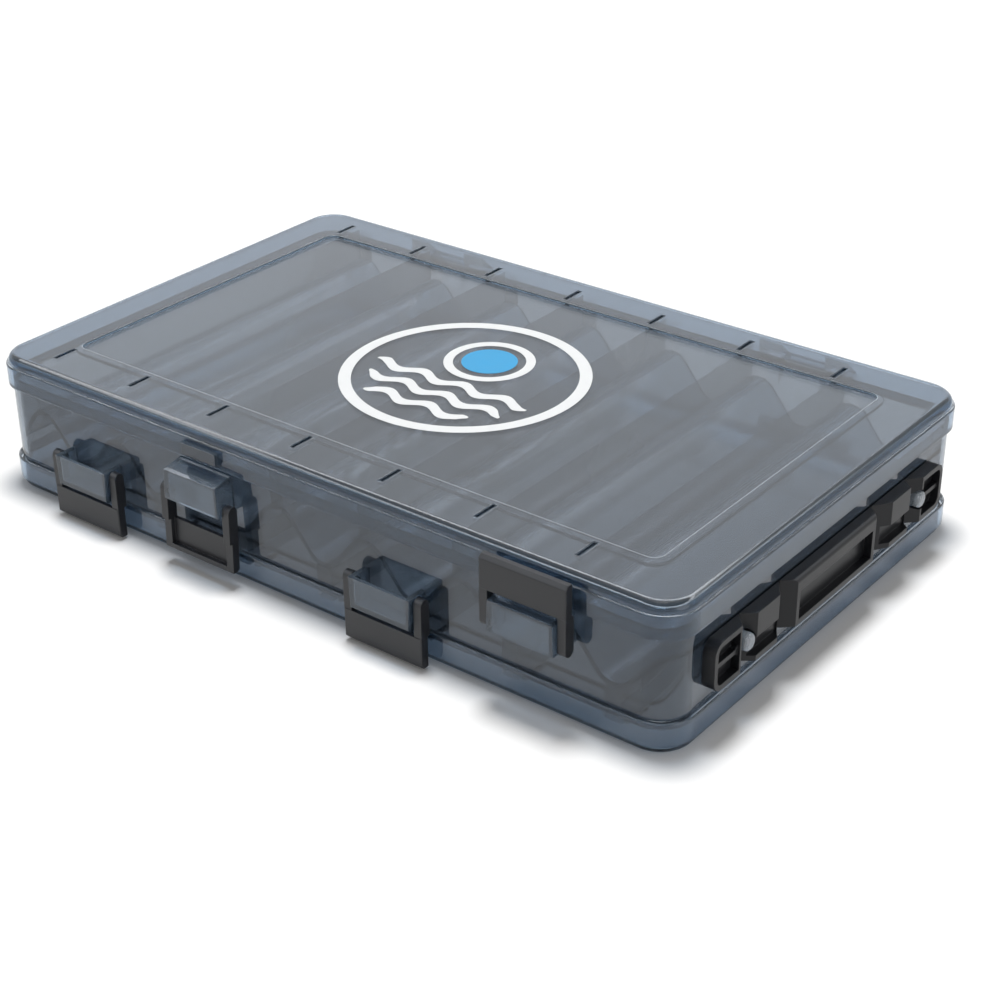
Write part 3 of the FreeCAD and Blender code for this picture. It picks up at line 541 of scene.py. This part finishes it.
def wave_band(level):
    span = math.sqrt(WAVE_REACH ** 2 - level ** 2)
    upper, lower = [], []
    for step in range(WAVE_STEPS + 1):
        x = span * (2 * step / WAVE_STEPS - 1)
        middle = level + WAVE_CREST * math.sin(2 * math.pi * x / WAVE_LONG)
        taper = min(1.0, (span - abs(x)) / (WAVE_TAPER * span))
        half = WAVE_THICK * (WAVE_TIP + (1 - WAVE_TIP) * taper) / 2
        upper.append((x, middle + half))
        lower.append((x, middle - half))
    return upper + lower[::-1]


plate_from_outline("mark_ring", circle_loop(RING_OUTER), [circle_loop(RING_INNER)], WHITE_INK)
plate_from_outline("mark_sun", circle_loop(SUN_RADIUS, SUN_Y), [], BLUE_INK)
plate_from_outline("mark_sun_halo", circle_loop(HALO_OUTER, SUN_Y), [circle_loop(HALO_INNER, SUN_Y)],
                   WHITE_INK)
for number, level in enumerate(WAVE_LEVELS, 1):
    plate_from_outline(f"mark_wave_{number}", wave_band(level), [], WHITE_INK)


# Camera


def place_camera():
    back = Vector((math.sin(AZIMUTH) * math.cos(ELEVATION), -math.cos(AZIMUTH) * math.cos(ELEVATION),
                   math.sin(ELEVATION)))
    right = (-back).cross(Vector((0, 0, 1))).normalized()
    up = right.cross(-back)
    right, up = (right * math.cos(ROLL) + up * math.sin(ROLL), up * math.cos(ROLL) - right * math.sin(ROLL))
    data = bpy.data.cameras.new("camera")
    data.lens = LENS
    data.sensor_width = SENSOR
    data.clip_start = CLIP_START
    data.clip_end = CLIP_END
    camera = into_scene("camera", data)
    turn = Matrix((right, up, back)).transposed().to_4x4()
    camera.matrix_world = Matrix.Translation(TARGET + back * DISTANCE) @ turn
    bpy.context.scene.camera = camera


# Studio: white floor and sky, a soft lamp overhead, which no reflection shows, and a low one at the right


WHITE = (1.0, 1.0, 1.0)
FLOOR_REACH = 4.0
FLOOR_LEVEL = -0.2 * MM
FLOOR_GREY = (0.86, 0.88)
FLOOR_FIBRE = 2 * MM
# The floor glows for the camera, from a little near the box to nearly white away from it: white far off, and
# painted shade near the box, where the small glow keeps the box's shadow dark
FLOOR_GLOW_AND_PAINTED_SHADE = (0.04, 0.95)
FLOOR_GLOW_AWAY = (0.2, 0.9)
FLOOR_THROUGH = 0.38  # glow of the floor where it is seen through the plastic
SKY_LIGHT = 0.3  # strength of the sky as a lamp
# Height and colour of the sky as reflections and the plastic show it
SKY_LOW = (0.15, WHITE)
SKY_HIGH = (0.85, (0.55, 0.57, 0.6))
# A bright band of the sky, which only reflections show, for the light lines along the edges
BAND_HEIGHT = 0.715
BAND_EDGE = (0.03, 0.065)
BAND_LIGHT = 7.0
# A soft card behind the handle end, which only reflections show, for the sheen on the lid
CARD_WAY = (0.4, 0.69, 0.6)
CARD_EDGE = (0.982, 0.99)
CARD_LIGHT = 2.5


def studio_material():
    material, tree = new_material("studio_white")
    place = object_place(tree)
    paper = ranged(tree, noise(tree, place, FLOOR_FIBRE, detail=2.0), *FLOOR_GREY)
    diffuse = add(tree, "ShaderNodeBsdfDiffuse", Color=mixed(tree, paper, (0.0, 0.0, 0.0), WHITE))
    away = add(tree, "ShaderNodeVectorMath", {"operation": "LENGTH"}, Vector=place).outputs["Value"]
    # painted shade: the glow is least near the box and grows away from it
    glow_and_painted_shade = ranged(tree, away, *FLOOR_GLOW_AND_PAINTED_SHADE, *FLOOR_GLOW_AWAY)
    rays = add(tree, "ShaderNodeLightPath").outputs
    through = worked_out(tree, "MULTIPLY", rays["Is Transmission Ray"], FLOOR_THROUGH)
    strength = worked_out(tree, "MULTIPLY_ADD", rays["Is Camera Ray"], glow_and_painted_shade, through)
    emission = add(tree, "ShaderNodeEmission", Color=WHITE, Strength=strength)
    show(tree, add(tree, "ShaderNodeAddShader", i0=diffuse.outputs[0], i1=emission.outputs[0]))
    return material


def build_floor():
    mesh = bpy.data.meshes.new("floor")
    signs = ((-1, -1), (1, -1), (1, 1), (-1, 1))
    corners = [(x * FLOOR_REACH, y * FLOOR_REACH, FLOOR_LEVEL) for x, y in signs]
    mesh.from_pydata(corners, [], [(0, 1, 2, 3)])
    mesh.materials.append(studio_material())
    floor = into_scene("floor", mesh)


def sky_colour(tree, up):
    ramp = add(tree, "ShaderNodeValToRGB", Fac=up)
    for element, (height, colour) in zip(ramp.color_ramp.elements, (SKY_LOW, SKY_HIGH)):
        element.position = height
        element.color = (*colour, 1.0)
    return ramp.outputs[0]


def reflected_lights(tree, way, up):
    # the band and the card, as strengths
    beside = worked_out(tree, "ABSOLUTE", worked_out(tree, "SUBTRACT", up, BAND_HEIGHT))
    band = ranged(tree, beside, BAND_LIGHT, 0.0, *BAND_EDGE)
    toward = add(tree, "ShaderNodeVectorMath", {"operation": "DOT_PRODUCT"}, i0=way, i1=CARD_WAY)
    card = ranged(tree, toward.outputs["Value"], 0.0, CARD_LIGHT, *CARD_EDGE)
    return worked_out(tree, "ADD", band, card)


def build_world():
    world = bpy.data.worlds.new("studio")
    bpy.context.scene.world = world
    world.use_nodes = True
    tree = world.node_tree
    tree.nodes.clear()
    way = add(tree, "ShaderNodeTexCoord").outputs["Generated"]
    up = add(tree, "ShaderNodeSeparateXYZ", Vector=way).outputs["Z"]
    rays = add(tree, "ShaderNodeLightPath").outputs
    bright = worked_out(tree, "MULTIPLY_ADD", reflected_lights(tree, way, up), rays["Is Glossy Ray"], 1.0)
    lighting = add(tree, "ShaderNodeBackground", Color=WHITE, Strength=SKY_LIGHT)
    mirrored = add(tree, "ShaderNodeBackground", Color=sky_colour(tree, up), Strength=bright)
    white = add(tree, "ShaderNodeBackground", Color=WHITE, Strength=1.0)
    seen = worked_out(tree, "MAXIMUM", rays["Is Glossy Ray"], rays["Is Transmission Ray"])
    sky = joined(tree, seen, lighting, mirrored)
    show(tree, joined(tree, rays["Is Camera Ray"], sky, white), "World")


def lamp(name, place, aim, size, power, mirrored=True):
    # size in metres, power in watts
    data = bpy.data.lights.new(name, "AREA")
    data.shape = "DISK"
    data.size = size
    data.energy = power
    light = into_scene(name, data)
    light.location = place
    light.rotation_euler = (Vector(aim) - Vector(place)).to_track_quat("-Z", "Y").to_euler()
    light.visible_glossy = mirrored


place_camera()
build_floor()
build_world()
lamp("key", (-0.05, 0.06, 1.3), (0.0, 0.0, 0.0), size=0.34, power=16.0, mirrored=False)
lamp("side", (0.9, -0.1, 0.35), (0.1, 0.0, 0.02), size=0.6, power=1.2)
bpy.context.scene.view_settings.view_transform = "Standard"

bpy.context.view_layer.update()
